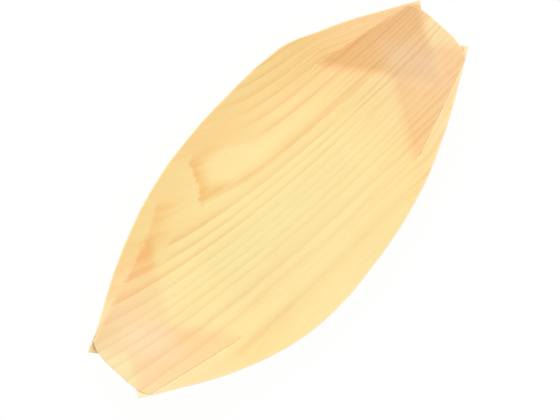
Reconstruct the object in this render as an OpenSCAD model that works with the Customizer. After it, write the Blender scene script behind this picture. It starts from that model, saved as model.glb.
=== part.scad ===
// Serving boat folded from one sheet of wood veneer.
// The sheet is slit twice at each end. The tongue between the slits is turned up, the tabs beside it
// swing inwards beneath it, cross each other and are glued, which draws the long rims up into a hull.
// +X points to the bow, +Y to port, and the origin is on the table below the middle of the floor.
// The stern is the bow turned half a turn about Z.

/* [Overall size] */
// Length over the ends
length = 216; // [180:1:260]
// Breadth over the rims at mid length
beam = 101.5; // [84:0.5:124]
// Height of the rims above the table at mid length
side_h = 19; // [15:0.5:24]
// Height of the tongue tips above the table
tip_h = 31; // [25:0.5:38]
// Height of the rim corners above the table
corner_h = 35; // [33:0.5:44]

/* [Veneer] */
// Thickness of the veneer
sheet_t = 0.7; // [0.5:0.05:1]

/* [Rims] */
// Breadth over the rim corners of one end
end_breadth = 29.5; // [26:0.5:40]
// Distance from mid length over which each rim bends inwards
rim_bend = 90; // [70:1:106]
// Sideways sway of the middle line, because the grain runs askew
sway = 2.2; // [0:0.1:3]

/* [Floor] */
// Breadth of the flat of the floor at mid length
floor_w = 30; // [24:0.5:36]
// Distance from mid length to the fold that turns the tongue up
fold_x = 53; // [46:0.5:58]
// Length of floor that the fold is bent over
fold_len = 24; // [16:1:32]

/* [Slits] */
// Distance from mid length to the roots of the slits
root_x = 55; // [50:0.5:60]
// Breadth of a tab beside its slit root, seen from above
tab_w = 11; // [9:0.1:14]
// Distance that the port root lies ahead of the starboard root at the bow
root_lead = 2.7; // [0:0.1:4]
// Distance that the two bow roots lie to starboard of the middle line
root_shift = 1.5; // [0:0.1:3]
// Width of the cut
kerf = 0.3; // [0.15:0.05:0.6]

/* [Tongues] */
// Breadth of the tongue at its free end
tongue_w = 34; // [28:0.5:36]
// Distance of the tongue's tip behind the end of the rims
tip_back = 0.5; // [0:0.1:4]
// Distance that the tongue's corners lie behind its tip
tip_round = 3.2; // [1:0.1:6]

/* [Tabs] */
// Angle that a tab swings in below the tongue, seen from above
swing = 40; // [34:1:46]
// Length of a tab along its slit, seen from above
tab_len = 55; // [48:0.5:60]
// Length of slit over which a tab drops below the tongue
drop_len = 4.5; // [4:0.5:7]
// Length of slit over which a tab then swings in
swing_len = 7; // [6:0.5:10]
// Length over which the rim of a tab drops by the same amount
rim_drop = 34; // [30:1:42]
// Distance along the slit at which the outer tab starts to drop below the inner one
lap_start = 17; // [14:0.5:18]
// Length of slit over which the outer tab drops below the inner one
lap_len = 17; // [10:0.5:18]

/* [Glue] */
// Gap between two layers that the glue fills
bond_gap = 0.3; // [0.3:0.05:0.5]
// Clearance on each face of a glue film
film_clear = 0.1; // [0.08:0.01:0.13]
// Distance that a glue film stays back from the edges of the veneer
film_margin = 5; // [3:0.5:7]

/* [Hidden] */

veneer_colour = [0.98, 0.86, 0.62];
glue_colour = [0.93, 0.90, 0.78];

// Power of the curve of a tongue's free end, which is nearly straight between its cut-off corners
tip_power = 4;
// Cells of the surface grid: along the floor, along a tongue or tab, across a side, across a tongue
floor_cells = 18;
end_cells = 20;
side_cells = 17;
tongue_cells = 16;
// Cells along and across a glue film
film_cells = 11;
// Rows of a tab crowd towards the slit root, where it twists most
row_crowding = 1.1;
// Step of the differences that give the slope of the surface
slope_step = 0.01;

layer_drop = sheet_t + bond_gap;
fold_half = fold_len / 2;
flat_share = floor_w / beam;
wall_slope = atan(2 * side_h / ((1 - flat_share) * beam / 2));
mid_half = beam / 2 - sheet_t * sin(wall_slope);
end_slope = atan((tip_h - sheet_t) / (length / 2 - tip_back - fold_x));
half_l = length / 2 - (2 * layer_drop + sheet_t) * sin(end_slope);
tip_x = half_l - tip_back;
keel_slope = (tip_h - sheet_t) / (tip_x - fold_x);

// Breadth of the tongue between its two slit roots
root_w = 2 * (half_breadth(root_x) - tab_w);
port_root = [root_x + root_lead / 2, root_w / 2 - root_shift];
starboard_root = [root_x - root_lead / 2, -root_w / 2 - root_shift];
port_corner = [tip_x - tip_round, tongue_w / 2];
starboard_corner = [tip_x - tip_round, -tongue_w / 2];

function ramp(t) = max(0, min(1, t));
function ease(t) = ramp(t) ^ 2 * (3 - 2 * ramp(t));
function between(a, b, t) = a + (b - a) * t;

// Lines of the hull, as functions of the distance x from mid length

// How far a rim is drawn in: it bends evenly more over rim_bend and then runs straight
function drawn_in(a) =
    let (t = a / rim_bend)
    t < 1 ? rim_bend * (t ^ 3 - t ^ 4 / 2) : a - rim_bend / 2;
function pinch(x) = drawn_in(abs(x)) / drawn_in(half_l);
function half_breadth(x) = between(mid_half, end_breadth / 2, pinch(x));
function sheer(x) = between(side_h, corner_h, pinch(x)) - sheet_t;
function middle(x) = sway * sin(180 * x / half_l);
// The keel is level, bends as a parabola at the fold and then rises straight
function keel(x) =
    let (a = abs(x) - fold_x)
    a < -fold_half ? 0 :
    a < fold_half ? keel_slope * (a + fold_half) ^ 2 / (4 * fold_half) :
    keel_slope * a;
// Rise across the hull: level over the flat of the floor, then a parabola up to the rim
function section(q) = max(0, (q - flat_share) / (1 - flat_share)) ^ 2;

// Height of the upper face of the hull above the floor, and the direction square to it
function skin(p) =
    between(keel(p.x), sheer(p.x), section(abs(p.y - middle(p.x)) / half_breadth(p.x)));
function square_to_skin(p) =
    let (
        along = [slope_step, 0],
        across = [0, slope_step],
        n = [
            skin(p - along) - skin(p + along),
            skin(p - across) - skin(p + across),
            2 * slope_step
        ]
    )
    n / norm(n);
// Point at a depth below the upper face of the hull, with the floor's underside on the table
function place(p, depth) = [p.x, p.y, skin(p) + sheet_t] - depth * square_to_skin(p);

// Plan of the sheet, side 0 being port and side 1 starboard

function hand(side) = side == 0 ? 1 : -1;
function rim(x, side) = [x, hand(side) * half_breadth(x) + middle(x)];
function root(side) = side == 0 ? port_root : starboard_root;
function corner(side) = side == 0 ? port_corner : starboard_corner;
// The root line slants with the two roots, out to the rims
function slant(x, side) = x + hand(side) * half_breadth(x) * root_lead / root_w;
function floor_rim(u, side) = rim(slant(between(-root_x, root_x, u), side), side);
function floor_seam(u, side) = between(-root(1 - side), root(side), u);

// Floor and walls between the slit roots, u from stern to bow, column counted from the port rim
function floor_plan(u, column) =
    column < side_cells ? between(floor_rim(u, 0), floor_seam(u, 0), column / side_cells) :
    column <= side_cells + tongue_cells ?
        between(floor_seam(u, 0), floor_seam(u, 1), (column - side_cells) / tongue_cells) :
    between(floor_seam(u, 1), floor_rim(u, 1), (column - side_cells - tongue_cells) / side_cells);

// Bow tongue, u from its root to its end, v from port to starboard, with a rounded end
function tongue_plan(u, v) =
    let (tip = between(corner(0), corner(1), v) + [tip_round * (1 - (2 * v - 1) ^ tip_power), 0])
    between(between(root(0), root(1), v), tip, u);

// Slit edge of a bow tab at the distance r from its root: it lies beside the tongue's edge over
// drop_len, and then turns about the root by the swing
function slit_edge(side, r) =
    let (
        edge = corner(side) - root(side),
        angle = atan2(edge.y, edge.x) - hand(side) * swing * ease((r - drop_len) / swing_len),
        aside = kerf * ramp(r / drop_len) * hand(side)
    )
    root(side) + r * [cos(angle), sin(angle)] + aside * [-sin(angle), cos(angle)];
// Bow tab, u from the root line to its end, w from the rim to the slit
function tab_plan(side, u, w) =
    let (x0 = floor_rim(1, side).x)
    between(rim(between(x0, half_l, u), side), slit_edge(side, tab_len * u), w);
// The port tab lies one layer below the bow tongue, and the starboard tab two where they cross
function tab_depth(side, u, w) =
    let (
        r = u * tab_len,
        first_drop = between(rim_drop, drop_len, sqrt(w))
    )
    layer_drop * (ease(r / first_drop) + side * ease((r - lap_start) / lap_len));

// Upper points of the sheet as [place in plan, depth]

function turned(list, end) = end == 0 ? list : [for (item = list) [-item[0], item[1]]];
function row_share(i) = (i / end_cells) ^ row_crowding;
columns = 2 * side_cells + tongue_cells;
floor_points = [
    for (i = [0 : floor_cells]) for (j = [0 : columns]) [floor_plan(i / floor_cells, j), 0]
];
function tongue_points(end) = turned([
    for (i = [1 : end_cells]) for (j = [0 : tongue_cells])
        [tongue_plan(i / end_cells, end == 0 ? j / tongue_cells : 1 - j / tongue_cells), 0]
], end);
function tab_points(end, side) =
    let (bow_side = end == 0 ? side : 1 - side)
    turned([
        for (i = [1 : end_cells]) for (j = [0 : side_cells])
            let (u = row_share(i), w = j / side_cells)
            [tab_plan(bow_side, u, w), tab_depth(bow_side, u, w)]
    ], end);
sheet_points = concat(
    floor_points,
    tongue_points(0), tongue_points(1),
    tab_points(0, 0), tab_points(0, 1), tab_points(1, 0), tab_points(1, 1)
);

// Places of those points in the list: end 0 is the bow and end 1 the stern, j runs from port to
// starboard on a tongue and from the rim to the slit on a tab

tongue_first = len(floor_points);
tab_first = tongue_first + 2 * end_cells * (tongue_cells + 1);
function floor_at(i, j) = i * (columns + 1) + j;
function tongue_at(end, i, j) =
    i == 0 ? floor_at(end == 0 ? floor_cells : 0, side_cells + j) :
    tongue_first + (end * end_cells + i - 1) * (tongue_cells + 1) + j;
function tab_at(end, side, i, j) =
    i == 0 ? floor_at(end == 0 ? floor_cells : 0, side == 0 ? j : columns - j) :
    tab_first + ((2 * end + side) * end_cells + i - 1) * (side_cells + 1) + j;

// Four corners of each cell, clockwise from above
function cell(a, b, c, d, reverse) = reverse ? [d, c, b, a] : [a, b, c, d];
sheet_cells = concat(
    [for (i = [0 : floor_cells - 1]) for (j = [0 : columns - 1])
        cell(floor_at(i, j), floor_at(i + 1, j), floor_at(i + 1, j + 1), floor_at(i, j + 1), false)],
    [for (end = [0, 1]) for (i = [0 : end_cells - 1]) for (j = [0 : tongue_cells - 1])
        cell(tongue_at(end, i, j), tongue_at(end, i + 1, j),
            tongue_at(end, i + 1, j + 1), tongue_at(end, i, j + 1), end == 1)],
    [for (end = [0, 1]) for (side = [0, 1]) for (i = [0 : end_cells - 1]) for (j = [0 : side_cells - 1])
        cell(tab_at(end, side, i, j), tab_at(end, side, i + 1, j),
            tab_at(end, side, i + 1, j + 1), tab_at(end, side, i, j + 1), end != side)]
);

// Edge of the sheet, clockwise from above: a tab goes out along its rim and back along its slit
function tab_round(end, side) = concat(
    [for (i = [0 : end_cells]) tab_at(end, side, i, 0)],
    [for (j = [1 : side_cells]) tab_at(end, side, end_cells, j)],
    [for (i = [end_cells - 1 : -1 : 1]) tab_at(end, side, i, side_cells)]
);
function tongue_round(end) = concat(
    [for (i = [0 : end_cells]) tongue_at(end, i, 0)],
    [for (j = [1 : tongue_cells]) tongue_at(end, end_cells, j)],
    [for (i = [end_cells - 1 : -1 : 0]) tongue_at(end, i, tongue_cells)]
);
function backwards(list) = [for (i = [len(list) - 1 : -1 : 0]) list[i]];
sheet_edge = concat(
    tab_round(0, 0),
    tongue_round(0),
    backwards(tab_round(0, 1)),
    [for (i = [floor_cells - 1 : -1 : 1]) floor_at(i, columns)],
    tab_round(1, 1),
    backwards(tongue_round(1)),
    backwards(tab_round(1, 0)),
    [for (i = [1 : floor_cells - 1]) floor_at(i, 0)]
);

// Solid between two depths below the upper points, from its cells and its edge
module layer(points, cells, edge, upper, lower) {
    count = len(points);
    above = [for (p = points) place(p[0], p[1] + upper)];
    below = [for (p = points) place(p[0], p[1] + lower)];
    faces = concat(
        [for (c = cells) each [[c[0], c[1], c[2]], [c[0], c[2], c[3]]]],
        [for (c = cells) each [
            [c[0] + count, c[2] + count, c[1] + count],
            [c[0] + count, c[3] + count, c[2] + count]
        ]],
        [for (k = [0 : len(edge) - 1])
            let (p = edge[k], q = edge[(k + 1) % len(edge)])
            each [[p + count, q + count, q], [p + count, q, p]]]
    );
    polyhedron(concat(above, below), faces);
}

module veneer_sheet() {
    color(veneer_colour)
        layer(sheet_points, sheet_cells, sheet_edge, 0, sheet_t);
}

// Patches of glue in plan, corners clockwise from above

rim_end = [rim(half_l, 0), rim(half_l, 1)];
tab_tip = [tab_plan(0, 1, 1), tab_plan(1, 1, 1)];
function cross_2d(a, b) = a.x * b.y - a.y * b.x;
// Crossing of the line from a to b with the line from c to d
function meet(a, b, c, d) = a + (b - a) * cross_2d(c - a, d - c) / cross_2d(b - a, d - c);
function unit(v) = v / norm(v);
// Outline moved inwards by a margin
function inset(corners, margin) = [
    for (k = [0 : len(corners) - 1])
        let (
            here = corners[k],
            back = unit(corners[(k + len(corners) - 1) % len(corners)] - here),
            on = unit(corners[(k + 1) % len(corners)] - here)
        )
        here + margin * (back + on) / abs(cross_2d(back, on))
];
// End of the line from a to b, or the place where it first crosses the line from c to d
function stopped(a, b, c, d) =
    let (crossing = meet(a, b, c, d))
    norm(crossing - a) < norm(b - a) ? crossing : b;
swung = drop_len + swing_len;
// Where the inner tab lies below the tongue, as far as the tongue's other edge
inner_patch = [
    root(0) + swung * unit(corner(0) - root(0)),
    corner(0),
    stopped(slit_edge(0, swung), tab_tip[0], root(1), corner(1)),
    slit_edge(0, swung)
];
// Where the two tabs cross
outer_patch = [
    tab_tip[1],
    meet(rim_end[0], tab_tip[0], rim_end[1], tab_tip[1]),
    tab_tip[0],
    meet(root(0), tab_tip[0], root(1), tab_tip[1])
];

// Glue film in the gap below a layer, the tongue being layer 0
module bond(patch, layer_above) {
    corners = inset(patch, film_margin);
    top = layer_above * layer_drop + sheet_t + film_clear;
    thick = bond_gap - 2 * film_clear;
    n = film_cells;
    row = n + 1;
    points = [
        for (i = [0 : n]) for (j = [0 : n])
            let (
                port = between(corners[0], corners[1], i / n),
                starboard = between(corners[3], corners[2], i / n)
            )
            [between(port, starboard, j / n), 0]
    ];
    cells = [
        for (i = [0 : n - 1]) for (j = [0 : n - 1])
            [i * row + j, (i + 1) * row + j, (i + 1) * row + j + 1, i * row + j + 1]
    ];
    edge = concat(
        [for (i = [0 : n]) i * row],
        [for (j = [1 : n]) n * row + j],
        [for (i = [n - 1 : -1 : 0]) i * row + n],
        [for (j = [n - 1 : -1 : 1]) j]
    );
    color(glue_colour)
        layer(points, cells, edge, top, top + thick);
}

module bow_inner_bond() {
    bond(inner_patch, 0);
}

module bow_outer_bond() {
    bond(outer_patch, 1);
}

module stern_inner_bond() {
    rotate(180) bow_inner_bond();
}

module stern_outer_bond() {
    rotate(180) bow_outer_bond();
}

veneer_sheet();
bow_inner_bond();
bow_outer_bond();
stern_inner_bond();
stern_outer_bond();
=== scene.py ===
import math

import bpy
import numpy as np
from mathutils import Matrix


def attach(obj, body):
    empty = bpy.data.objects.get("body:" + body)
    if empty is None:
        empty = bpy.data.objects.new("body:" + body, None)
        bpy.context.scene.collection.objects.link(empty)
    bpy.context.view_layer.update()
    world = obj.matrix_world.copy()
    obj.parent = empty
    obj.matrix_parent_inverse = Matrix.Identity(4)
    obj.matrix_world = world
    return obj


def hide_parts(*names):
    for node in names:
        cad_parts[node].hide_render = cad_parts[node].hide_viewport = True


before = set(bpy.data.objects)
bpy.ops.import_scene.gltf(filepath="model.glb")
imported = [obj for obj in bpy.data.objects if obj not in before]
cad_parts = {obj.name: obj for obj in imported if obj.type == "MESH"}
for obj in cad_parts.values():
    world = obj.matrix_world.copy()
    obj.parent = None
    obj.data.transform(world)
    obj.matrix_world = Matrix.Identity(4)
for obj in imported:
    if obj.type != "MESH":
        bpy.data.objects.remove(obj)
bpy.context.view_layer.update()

# Sizes of the folded sheet in millimetres, as the part has them

MM = 0.001
LENGTH = 216.0
BEAM = 101.5
SIDE_H = 19.0
TIP_H = 31.0
CORNER_H = 35.0
SHEET_T = 0.7
END_BREADTH = 29.5
RIM_BEND = 90.0
SWAY = 2.2
FLOOR_W = 30.0
FOLD_X = 53.0
FOLD_HALF = 12.0
ROOT_X = 55.0
TAB_W = 11.0
ROOT_LEAD = 2.7
ROOT_SHIFT = 1.5
TONGUE_W = 34.0
TIP_BACK = 0.5
TIP_ROUND = 3.2
SWING = math.radians(40.0)
TAB_LEN = 55.0
DROP_LEN = 4.5
SWING_LEN = 7.0
RIM_DROP = 34.0
LAP_START = 17.0
LAP_LEN = 17.0
LAYER_DROP = 1.0

# Sizes that follow from those
FLAT_SHARE = FLOOR_W / BEAM
WALL_SLOPE = math.atan(2 * SIDE_H / ((1 - FLAT_SHARE) * BEAM / 2))
MID_HALF = BEAM / 2 - SHEET_T * math.sin(WALL_SLOPE)
END_SLOPE = math.atan((TIP_H - SHEET_T) / (LENGTH / 2 - TIP_BACK - FOLD_X))
HALF_L = LENGTH / 2 - (2 * LAYER_DROP + SHEET_T) * math.sin(END_SLOPE)
TIP_X = HALF_L - TIP_BACK
KEEL_SLOPE = (TIP_H - SHEET_T) / (TIP_X - FOLD_X)
# Way outwards at the port and at the starboard side
HAND = (1.0, -1.0)

# Cut edges: how far an arris is worn back, how far a cut wanders, and the seeds of that wander
ARRIS = 0.2
RIM_WANDER = 0.10
END_WANDER = 0.16
RIM_SEED = 1
TONGUE_SEED = 5
TAB_SEED = 7
# A tab's cut end: length of wander over its breadth, the shares of its length over which the wander
# sets in, and how much of it is kept
FRAY_LEN = 40.0
FRAY_STEP = (0.9, 0.1)
FRAY_KEPT = 0.8
# Width of a slit, narrower than the part's, how far a tab tucks in below its tongue, and the shares
# of its drop's length over which it does
KERF = 0.04
TUCK = 0.5
TUCK_STEP = (0.5, 0.2)
# How far the rim corners stand past the part's own, and how closely a tab hugs the tongue's edge
RIM_OVER = 0.8
SNUG = 0.27
SNUG_LEN = 4.0
# Distance inside the tongue's edge over which the outer tab drops below the inner one
LAP_FROM = 1.0
LAP_OVER = 5.8
# Waves that the drying veneer keeps in its raised walls: size, pitch of both factors along and
# across, shift of the second, and the height over which they set in
WAVE = 0.22
WAVE_FIRST = (0.115, 0.09)
WAVE_SECOND = (-0.04, 0.07)
WAVE_SHIFT = 1.0
WAVE_SETS_IN = 9.0
# Bend of both ends to port, and the share of it by which the whole sheet is set back
BEND = 1.3
BEND_BACK = 0.4
# Flats and swells of the port and the starboard wall: size, distance from mid length, spread
SWELL = (
    ((-1.15, 22.0, 17.0), (1.0, 54.0, 9.0), (0.35, -75.0, 18.0)),
    ((0.5, 88.0, 30.0), (-0.5, 33.0, 14.0), (0.45, -6.0, 7.0), (-0.45, -50.0, 18.0)),
)
# How far the outer tab's end at the stern gapes below its tongue, and the shares of its length and
# of its breadth over which it does
GAPE = 1.2
GAPE_STEP = (0.8, 0.2)
GAPE_BREADTH = 0.5
# Breadth over which the painted shade of one layer, and of two, below a tongue fades out
LAP_SOFT = 6.0
PAIR_SOFT = 13.0
# Strength of the painted shade where the inner and the outer tab lie below the tongue, at the bow
# and at the stern, and of the paler, bluer tint of that shade where both lie below it
LAP_SHADE = ((2.0, 1.35), (1.0, 0.8))
PAIR_SHADE = (1.0, 0.5)

# Grain seen from above: its turn, and the power terms of x and y over the unit that bend it
GRAIN_TURN = math.radians(-7.0)
BEND_UNIT = 50.0
GRAIN_BEND = {
    (1, 0): 0.1211, (1, 1): 0.1002, (1, 2): 0.1659, (1, 3): 0.2026, (2, 0): -0.0192,
    (2, 1): 0.0128, (2, 2): 0.0756, (3, 0): -0.0001, (3, 1): 0.0037,
}
# Length of blank that one unit of the grain map stands for
GRAIN_UNIT = 100.0
# Turn of the grain on the strip of tab that shows beside a tongue and on the rest of the tab, the
# share of the tab's length over which it sets in, and the breadth over which it goes from the one
# to the other
STRIP_TURN = math.radians(13.0)
TAB_TURN = math.radians(24.0)
TURN_SETS_IN = 0.4
TURN_OVER = 26.0

# Figure of the wood

# Lengths run along the grain to the bow and across it to port. A step is given by its start and its
# length, and a bell curve by its middle and its spread.

# Lower leg of the heartwood figure, the widths of the rings below and above it, and how far the leg
# is drawn down towards the bow, by which step and with which spread
LEG_LOW = 19.4
RINGS_BELOW = (8.0, 3.7, 4.3, 4.3, 3.8, 3.0, 4.1, 3.8, 6.5, 5.4, 11.6, 26.0, 12.0, 12.0)
RINGS_ABOVE = (11.6, 8.0, 8.0, 8.0, 8.0, 8.0, 8.0)
LEG_DRAW = 2.6
LEG_DRAW_STEP = (-20.0, 30.0)
LEG_DRAW_SPREAD = 5.0
# Blunt tip of the figure: a point of its edge, the edge's slant, the size, pitch and seed of its
# wander, and how much it leans back above a height
TIP_AT = (-23.9, 27.9)
TIP_SLANT = 0.488
TIP_WANDER = 1.3
TIP_PITCH = 1.4
TIP_SEED = 21
TIP_LEAN = 0.8
TIP_LEAN_FROM = 35.3
# Where the figure hides the rings: its lower bound astern and how that drops, the bound under the
# leg, the step from one to the other, the step by which the leg softens, the breadth of the bound
# before and after that and how far that lowers it, and the step by which the rings come back
HIDES_ASTERN = 13.0
HIDES_DROP = 6.0
HIDES_DROP_STEP = (48.0, 10.0)
HIDES_UNDER_LEG = 1.5
HIDES_RISE = (-33.0, 6.0)
LEG_SOFTENS = (-24.0, 14.0)
HIDES_SOFT = (2.5, 5.5)
HIDES_LOWERED = 2.2
HIDES_FADES = (2.0, 20.0)
# Tones inside the figure, from 0 for pale to 1 for dark. Core, and edge with its depth, the step at
# its top and a paler place
CORE_TONE = 0.03
EDGE_TONE = 0.93
EDGE_DEPTH = 5.2
EDGE_TOP = (34.6, 3.0)
EDGE_PALER = 0.25
EDGE_PALER_AT = (26.5, 3.0)
# Leg: the length of its fade, its softer part, its tone, and where that is darker
LEG_FADE = 3.2
LEG_SOFT_TONE = 0.75
LEG_SOFT_AT = (LEG_LOW - 0.6, 2.6)
LEG_TONE = 0.558
LEG_DARKER = 0.36
LEG_DARKER_AT = (-20.0, 14.0)
# Upper lines: tone, height of their lower side, its rise astern, softness, and the paler part above
UPPER_TONE = 0.27
UPPER_FROM = 29.5
UPPER_RISE = 3.5
UPPER_RISE_STEP = (-8.0, 14.0)
UPPER_SOFT = 3.5
UPPER_PALER = 0.06
UPPER_PALER_STEP = (39.0, 3.0)
# Hook at the tip's upper end and heel where the leg leaves it: tone, place, spread, slant
HOOK_TONE = 0.25
HOOK_AT = (-13.5, 36.0)
HOOK_SPREAD = (6.0, 3.2)
HOOK_SLANT = 1.2
HEEL_TONE = 0.45
HEEL_AT = (-19.0, 20.2)
HEEL_SPREAD = (7.0, 2.8)
# Tones outside the figure: even wood, more above a height, a band and a three-cornered patch, whose
# lines are a point and a slant
EVEN_TONE = 0.2
HIGH_TONE = 0.06
HIGH_STEP = (34.0, 3.0)
BAND_TONE = 0.46
BAND_LINE = ((-54.0, 18.4), 1.55)
BAND_SOFT = 1.8
BAND_DEPTH = 8.0
BAND_ACROSS = ((12.0, 3.0), (23.5, 3.0))
PATCH_TONE = 0.45
PATCH_LEFT = ((-75.0, 8.7), 2.08)
PATCH_RIGHT = ((-63.0, 6.8), 0.71)
PATCH_SOFT = (2.0, 5.0)
PATCH_LOW = (6.0, 2.5)
# Tone that a strip of tab beside a tongue adds outside the figure, and painted shadow of the tongue
# on the end of the stern's port tab, by a step astern and one to port
STRIP_TONE = 0.12
TAB_END_SHADOW = 0.9
TAB_END_ASTERN = (101.0, 5.0)
TAB_END_PORT = (-1.0, 2.0)
# Tone below the rings: stripes that go on from the lower and the upper leg and one on the starboard
# floor, with tone, bell curve across, and steps of setting in and fading along, and a field beside
# the lower stripe, with tone, steps across and step of fading
STRIPES = (
    (0.3, (18.2, 3.6), (-16.0, 14.0), (58.0, 20.0)),
    (0.22, (30.6, 2.2), (2.0, 14.0), (45.0, 20.0)),
    (0.1, (-24.0, 10.0), (-55.0, 20.0), (25.0, 25.0)),
)
FIELD_TONE = 0.1
FIELD_ACROSS = ((2.0, 5.0), (15.0, 5.0))
FIELD_FADES = (40.0, 25.0)
# Strength of the rings' lines: the least, steps to port, to starboard and astern that add to it, a
# bell curve at the bow's fold, and the starboard bow wall, where steps to starboard and to the bow
# take from it
BOLD_LEAST = 0.48
BOLD_PORT = ((0.2, (0.0, 4.0)), (0.2, (LEG_LOW - 4.0, 4.0)))
BOLD_STARBOARD = (0.17, (13.0, 9.0))
BOLD_ASTERN = (0.3, (8.0, 30.0))
BOLD_FOLD = (0.2, (45.0, 18.0))
BOLD_BOW_WALL = (-0.25, (22.0, 8.0), (15.0, 20.0))
# Painted light that raises the red of the port wall, which faces away from the lamp: its step
# across, and the shifts of that step by steps astern
PORT_LIGHT_STEP = (16.0, 16.0)
PORT_LIGHT_SHIFTS = ((8.0, (20.0, 20.0)), (16.0, (60.0, 25.0)))
# Steps of the heartwood's colour and of the broad rings to starboard, of the wood above the figure,
# of the fine rings to the bow, which take most of the heartwood's colour away, and of both ends,
# where the broad rings fade and a bluish reflection is painted
HEART_STEP = (0.5, 5.0)
OUTER_STEP = (12.0, 14.0)
ABOVE_STEP = (34.0, 8.0)
FINE_STEP = (30.0, 35.0)
FINE_TAKES = 0.85
END_STEP = (50.0, 40.0)
# Width of a fine ring
FINE_RING = 3.0
# Distance that stands for nowhere near a slit, and breadth of the painted light on the tabs along a
# tongue's edge, which makes up for the contact shadow there
FAR = 99.0
NOOK = 1.0
# Share of a tab's length over which it takes on the looks of a strip
STRIP_SETS_IN = 0.3

# Mesh of the sheet

# Rows of the floor, cells of the other grids, the share of a row that a cut edge takes, and the two
# extra shares of that with the wear of the arris at each
FLOOR_ROWS = 111
SIDE_CELLS = 22
TONGUE_CELLS = 56
END_CELLS = 60
SIDE_CUT = 0.016
TONGUE_CUT = 0.0045
ARRIS_SHARES = np.array([0.28, 1.0])
ARRIS_WEAR = np.array([1.0, 0.3])
# Torn fibres at a slit root and on a tongue's edge: both ends in plan, lift, half width
TORN = (
    ((51.0, 29.4), (56.1, 29.9), 0.1, 0.4),
    ((52.5, 28.0), (56.0, 28.3), 0.1, 0.34),
    ((89.7, -21.4), (91.3, -19.6), 0.2, 0.16),
)
# Rows and sides of a torn fibre, its least share of breadth, and its height over its breadth
SLIVER_ROWS = 25
SLIVER_SIDES = 6
SLIVER_LEAST = 0.12
SLIVER_FLAT = 0.25


def ramp(t):
    """t held between 0 and 1."""
    return np.clip(t, 0.0, 1.0)


def ease(t):
    """Smooth step: three times the square of t less twice its cube, t held between 0 and 1."""
    c = ramp(t)
    return c * c * (3 - 2 * c)


def between(a, b, t):
    """Straight blend from a at t = 0 to b at t = 1, for numbers or for points with t per row."""
    return a + (b - a) * t


def wander(t, seed):
    """Uneven line through zero: five sines of rising pitch, each phase turned by the seed."""
    pitch = np.array([0.11, 0.23, 0.57, 1.31, 2.9])
    size = np.array([0.45, 0.3, 0.2, 0.12, 0.08])
    turn = np.sin(seed * np.array([12.9, 78.2, 37.7, 93.9, 51.3])) * 40.0
    return (size * np.sin(np.multiply.outer(t, pitch * 2.3) + turn)).sum(-1)


def step(x, start, length):
    """Smooth step from 0 at the start to 1 a length further on."""
    return ease((x - start) / length)


def over_edge(x, soft):
    """Smooth step across zero, over a breadth."""
    return ease(x / soft + 0.5)


def plateau(x, rise, fall):
    """Smooth step up times a smooth step down."""
    return step(x, *rise) * (1 - step(x, *fall))


def bell(x, at, spread):
    """Bell curve of height 1."""
    return np.exp(-(((x - at) / spread) ** 2))


# Lines of the hull over the distance x from mid length


def drawn_in(a):
    """How far a rim is drawn in at a distance a: the bend times the cube less half the fourth power
    of the share of it that a makes up, and then a straight line."""
    t = a / RIM_BEND
    return np.where(t < 1, RIM_BEND * (t**3 - t**4 / 2), a - RIM_BEND / 2)


def pinch(x):
    """Share of the full drawing in, 0 at mid length and 1 at the rim corners."""
    return drawn_in(np.abs(x)) / drawn_in(np.float64(HALF_L))


def half_breadth(x):
    """Half the breadth over the rims, falling with the pinch."""
    return between(MID_HALF, END_BREADTH / 2, pinch(x))


def sheer(x):
    """Height of the rim over the floor, rising with the pinch."""
    return between(SIDE_H, CORNER_H, pinch(x)) - SHEET_T


def middle(x):
    """Sideways sway of the middle line, one sine over the length."""
    return SWAY * np.sin(np.pi * x / HALF_L)


def keel(x):
    """Height of the middle line: level, a parabola through the fold, then a straight rise."""
    a = np.abs(x) - FOLD_X
    bend = KEEL_SLOPE * (a + FOLD_HALF) ** 2 / (4 * FOLD_HALF)
    return np.where(a < -FOLD_HALF, 0.0, np.where(a < FOLD_HALF, bend, KEEL_SLOPE * a))


def across(p):
    """Share of the half breadth at which a plan point lies, 0 on the middle line, 1 on the rim."""
    return np.abs(p[:, 1] - middle(p[:, 0])) / half_breadth(p[:, 0])


def skin(p):
    """Height of the upper face: keel to rim by the square of the share outside the flat floor,
    with slow waves that grow with the height."""
    share = np.maximum(0.0, (across(p) - FLAT_SHARE) / (1 - FLAT_SHARE)) ** 2
    rise = between(keel(p[:, 0]), sheer(p[:, 0]), share)
    wave = np.sin(p @ WAVE_FIRST) * np.cos(p @ WAVE_SECOND + WAVE_SHIFT)
    return rise + WAVE * wave * ease(rise / WAVE_SETS_IN)


def square_to_skin(p):
    """Unit normals of the upper face from central differences of its height."""
    gap = 0.01
    dx = np.array([gap, 0.0])
    dy = np.array([0.0, gap])
    n = np.stack(
        [skin(p - dx) - skin(p + dx), skin(p - dy) - skin(p + dy), np.full(len(p), 2 * gap)], 1
    )
    return n / np.linalg.norm(n, axis=1, keepdims=True)


def place(p, depth):
    """Points at a depth below the upper face, measured square to it, in millimetres, with the ends
    bent to port by a parabola, and each wall pushed out by the sum of its bell curves."""
    upper = np.column_stack([p, skin(p) + SHEET_T])
    bent = upper - depth[:, None] * square_to_skin(p)
    x = bent[:, 0]
    bent[:, 1] += BEND * ((x / HALF_L) ** 2 - BEND_BACK)
    for hand, bells in zip(HAND, SWELL):
        swell = sum(size * bell(x, at, spread) for size, at, spread in bells)
        bent[:, 1] += hand * swell * ramp(hand * p[:, 1] / half_breadth(x)) ** 2
    return bent


# Plan of the sheet, side 0 being port and side 1 starboard

ROOT_W = 2 * (float(half_breadth(ROOT_X)) - TAB_W)
ROOT = (
    np.array([ROOT_X + ROOT_LEAD / 2, ROOT_W / 2 - ROOT_SHIFT]),
    np.array([ROOT_X - ROOT_LEAD / 2, -ROOT_W / 2 - ROOT_SHIFT]),
)
CORNER = (
    np.array([TIP_X - TIP_ROUND, TONGUE_W / 2]),
    np.array([TIP_X - TIP_ROUND, -TONGUE_W / 2]),
)


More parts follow.
